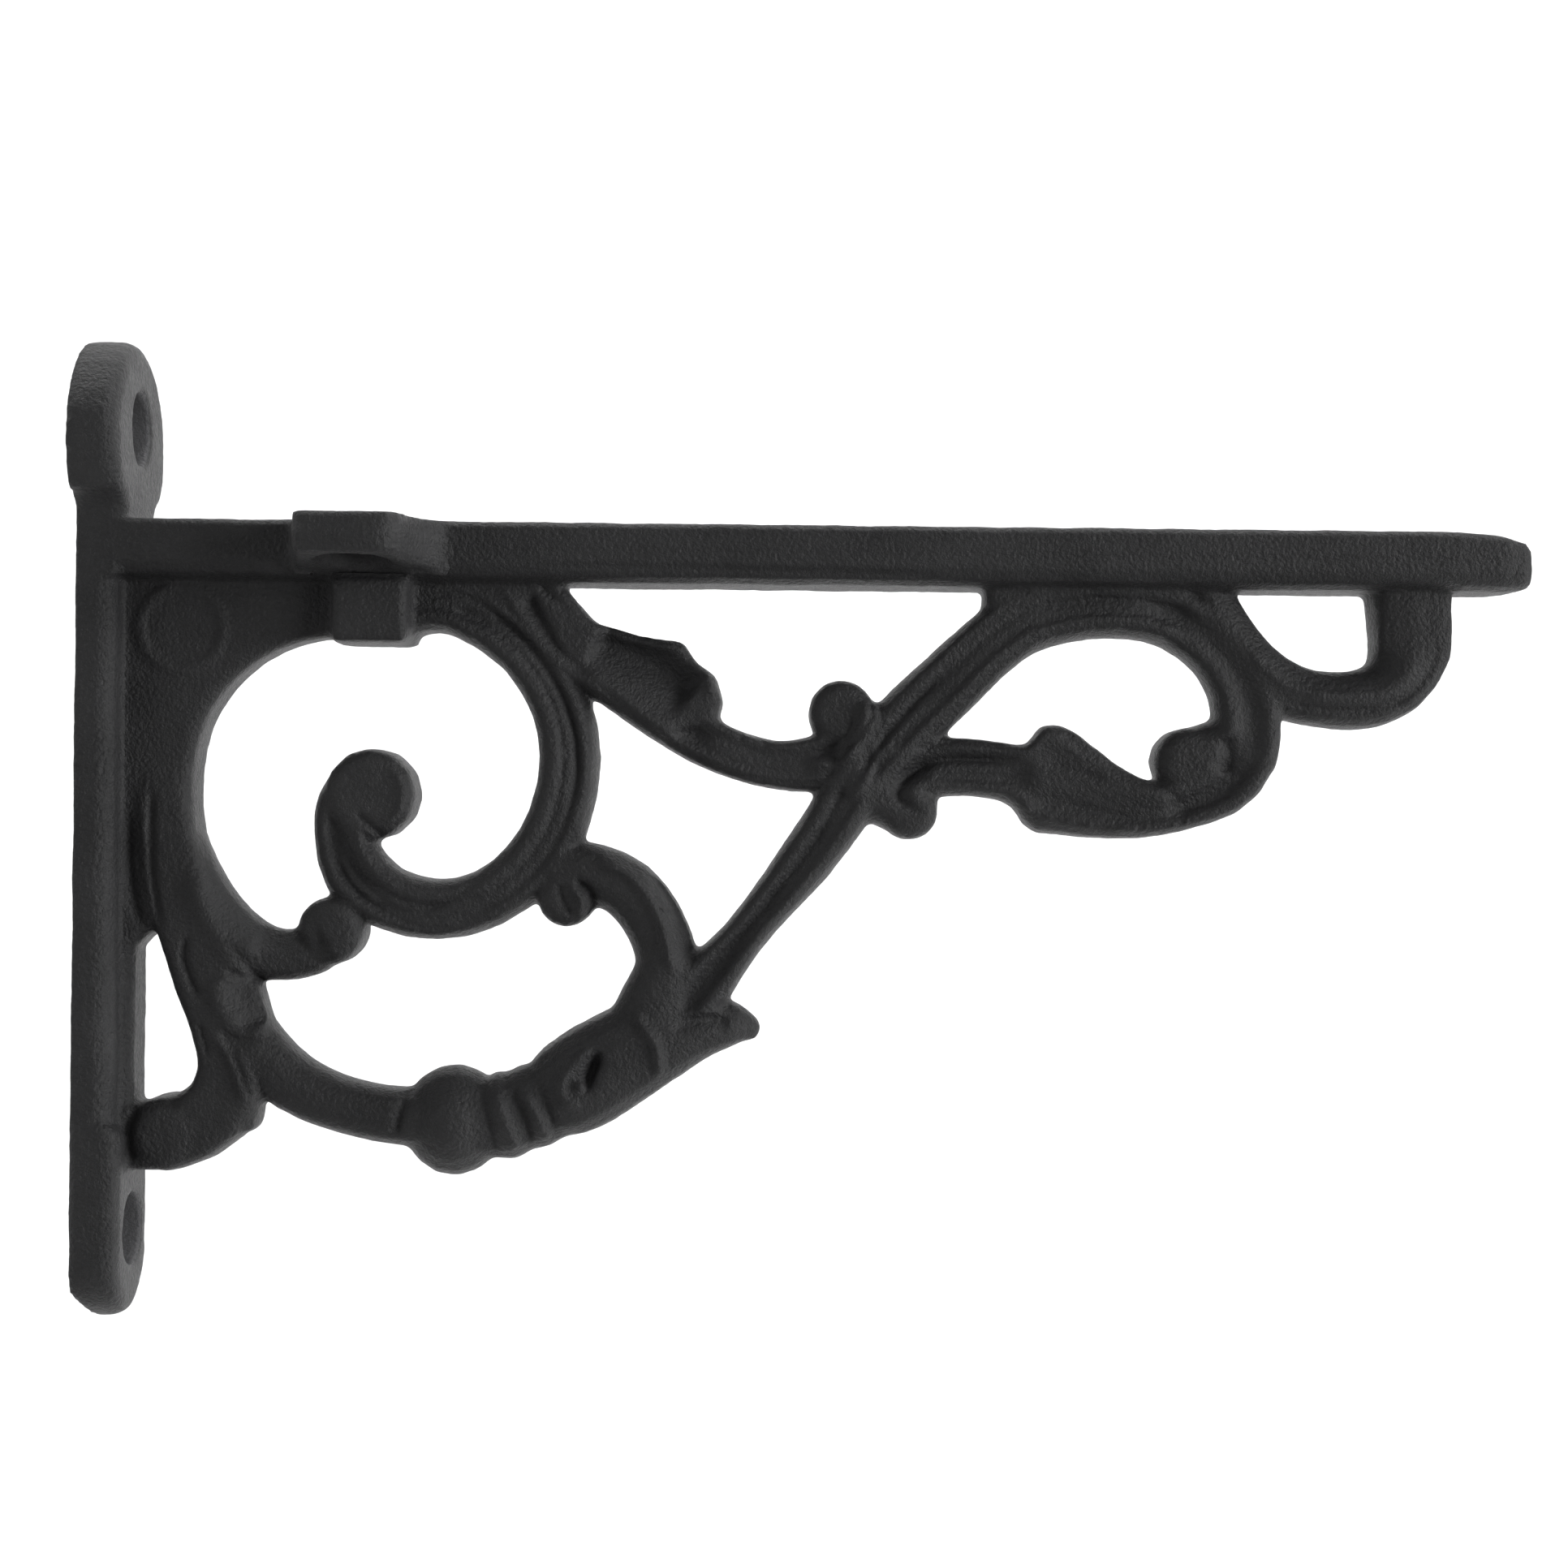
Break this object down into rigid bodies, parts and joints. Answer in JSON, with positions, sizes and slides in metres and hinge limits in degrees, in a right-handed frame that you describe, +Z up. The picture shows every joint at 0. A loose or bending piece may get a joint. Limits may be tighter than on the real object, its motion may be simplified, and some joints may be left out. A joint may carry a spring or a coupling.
{
  "type": "shelf bracket",
  "caption": "Cast iron shelf bracket: a wall leg with screw lugs, a flat arm with a shelf ear, and an openwork of reeded scrolls, leaves, ball and pod between them.",
  "frame": {"origin": "on the wall face, at the height of the shelf seat, on the mid-plane of the casting", "axes": "+X out from the wall along the arm, +Z up, the shelf ear on the -Y side"},
  "size_m": [0.1524, 0.0266, 0.1034],
  "materials": {
    "black_iron": "sand cast iron, painted satin black"
  },
  "bodies": {
    "root": {"bracket": "black_iron"}
  },
  "joints": []
}
